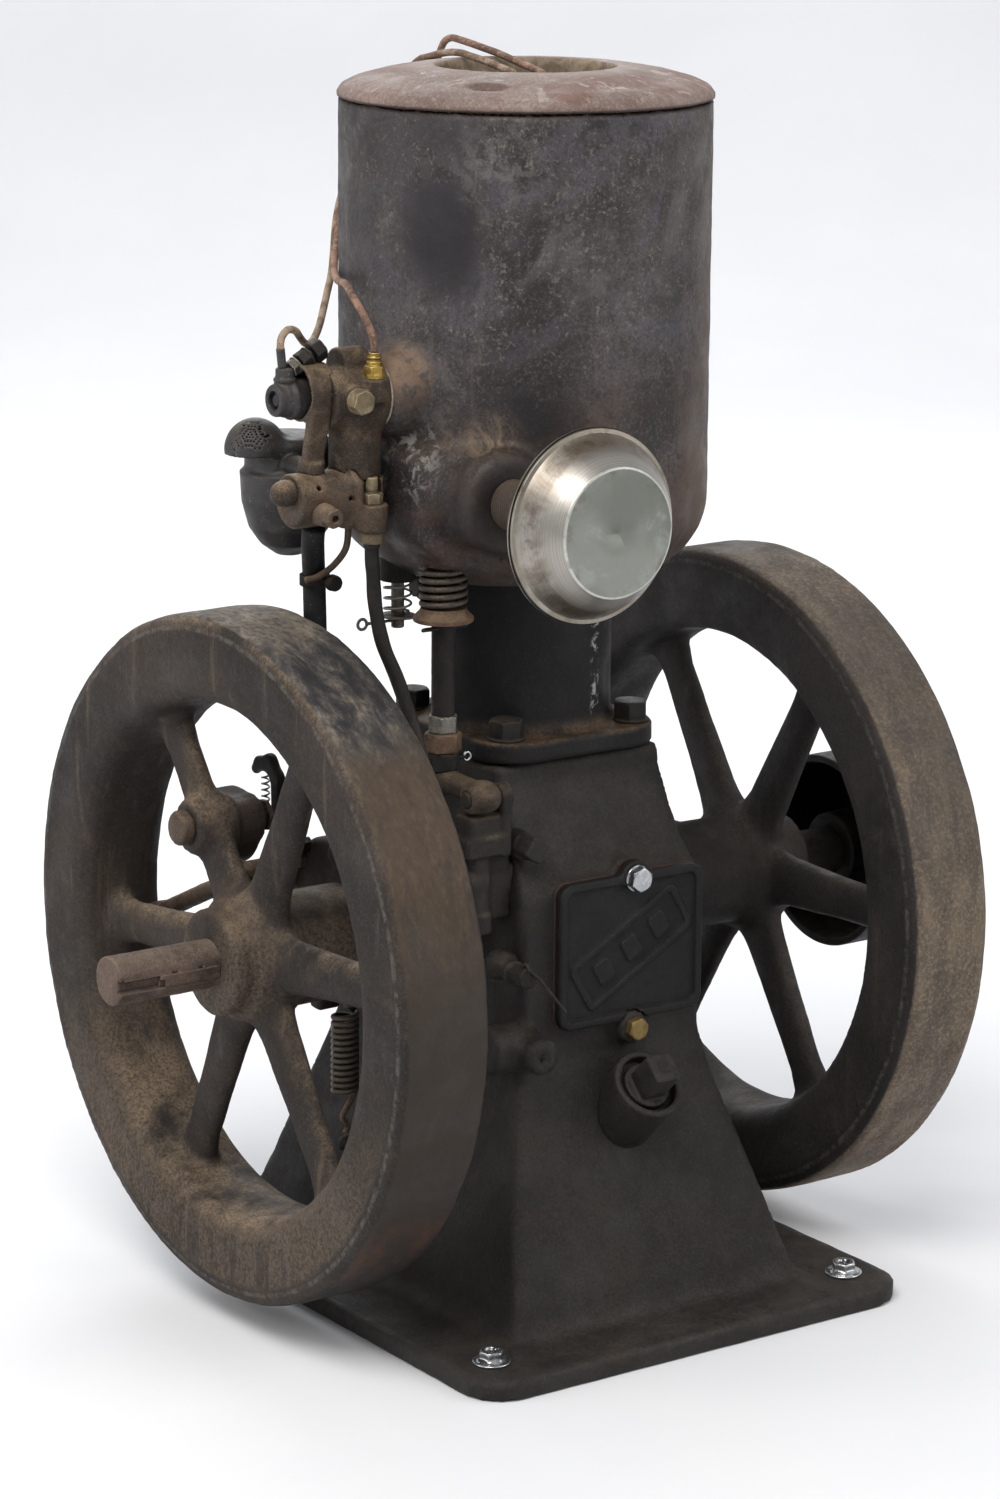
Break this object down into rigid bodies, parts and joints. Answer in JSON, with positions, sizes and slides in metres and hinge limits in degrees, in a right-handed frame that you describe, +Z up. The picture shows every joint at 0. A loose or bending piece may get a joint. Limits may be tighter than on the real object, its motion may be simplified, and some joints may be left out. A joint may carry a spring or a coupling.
{
  "type": "stationary engine",
  "caption": "Upright stationary engine with a round water hopper, flywheels on a horizontal crankshaft, a disc muffler, side valve gear, a mixer, a belt pulley and a flanged base.",
  "frame": {"origin": "centre of the flat underside of the base flange", "axes": "+Z up, +X along the crankshaft towards the belt pulley, -Y towards the crankcase cover and the muffler"},
  "size_m": [0.618, 0.4239, 0.7479],
  "materials": {
    "dark_iron": "old dark machinery paint with dust and small chips",
    "brown_iron": "aged brown iron with dust and light rust",
    "grey_iron": "mottled grey iron",
    "wheel_iron": "dusty iron with light rust",
    "hopper_iron": "mottled grey-brown iron",
    "lid_iron": "matte reddish brown primer",
    "zinc": "dull zinc",
    "steel": "worn steel, lightly rusted",
    "rust_steel": "rusty steel",
    "muffler_aluminium": "brushed aluminium with brown stains",
    "brass_part": "dull brass",
    "black_rubber": "matte black rubber",
    "black_plastic": "black moulded insulator",
    "black_paint": "black paint, dusty",
    "gasket_paper": "rust-stained gasket paper",
    "lead_cloth": "cloth-covered wire, dirty"
  },
  "bodies": {
    "engine": {"frame": "dark_iron", "crankcase_cover": "dark_iron", "cover_gasket": "gasket_paper", "cover_bolts": "zinc", "oil_filler": "dark_iron", "side_plug": "dark_iron", "petcock": "brown_iron", "timing_housing": "brown_iron", "cylinder": "grey_iron", "cylinder_bolts": "dark_iron", "inner_cylinder": "brown_iron", "hopper": "hopper_iron", "hopper_lid": "lid_iron", "exhaust_nipple": "steel", "muffler_back": "muffler_aluminium", "muffler_front": "muffler_aluminium", "intake_manifold": "brown_iron", "manifold_bolt": "zinc", "lead_terminal": "brass_part", "igniter": "black_plastic", "igniter_strap": "steel", "igniter_nuts": "zinc", "mixer_body": "brown_iron", "mixer_plugs": "brass_part", "fuel_fitting": "zinc", "fuel_pipe": "steel", "drip_line": "brass_part", "air_horn": "black_paint", "breather_hose": "black_rubber", "hose_clamp": "zinc", "intake_guide": "dark_iron", "intake_spring": "steel", "exhaust_spring": "steel", "lever_bracket": "brown_iron", "latch_arm": "dark_iron", "pull_spring": "rust_steel", "ignition_lead_a": "lead_cloth", "ignition_lead_b": "lead_cloth"},
    "rotor": {"crankshaft": "steel", "crank_key": "steel", "flywheel_left": "wheel_iron", "flywheel_right": "wheel_iron", "belt_pulley": "dark_iron", "governor_bolt": "steel", "governor_link": "brown_iron"},
    "governor": {"governor_weight": "brown_iron"},
    "intake_valve": {"intake_stem": "steel"},
    "exhaust_rod": {"push_rod": "steel", "push_rod_nuts": "zinc", "spring_seat": "rust_steel"},
    "lever": {"exhaust_lever": "brown_iron"}
  },
  "joints": [
    {"name": "crank_spin", "type": "hinge", "parent": "engine", "child": "rotor", "pos_m": [0, 0.013, 0.223], "axis": [1, 0, 0], "continuous": true},
    {"name": "governor_swing", "type": "hinge", "parent": "rotor", "child": "governor", "pos_m": [-0.158, 0.06175, 0.29263], "axis": [1, 0, 0], "range_deg": [0, 10], "stiffness_Nm_per_rad": 2, "springref_deg": -17.19},
    {"name": "lever_rock", "type": "hinge", "parent": "engine", "child": "lever", "pos_m": [-0.087, -0.084, 0.326], "axis": [1, 0, 0], "range_deg": [0, 7]},
    {"name": "exhaust_lift", "type": "slide", "parent": "engine", "child": "exhaust_rod", "axis": [0, 0, 1], "range_m": [0, 0.0048], "stiffness_N_per_m": 150, "springref_m": -0.006, "deforming": ["exhaust_spring"]},
    {"name": "intake_lift", "type": "slide", "parent": "engine", "child": "intake_valve", "axis": [0, 0, 1], "range_m": [0, 0.004], "stiffness_N_per_m": 200, "springref_m": -0.005, "deforming": ["intake_spring"]}
  ],
  "couplings": [
    {"joint": "lever_rock", "follows": "exhaust_lift", "rad_per_m": 25}
  ]
}
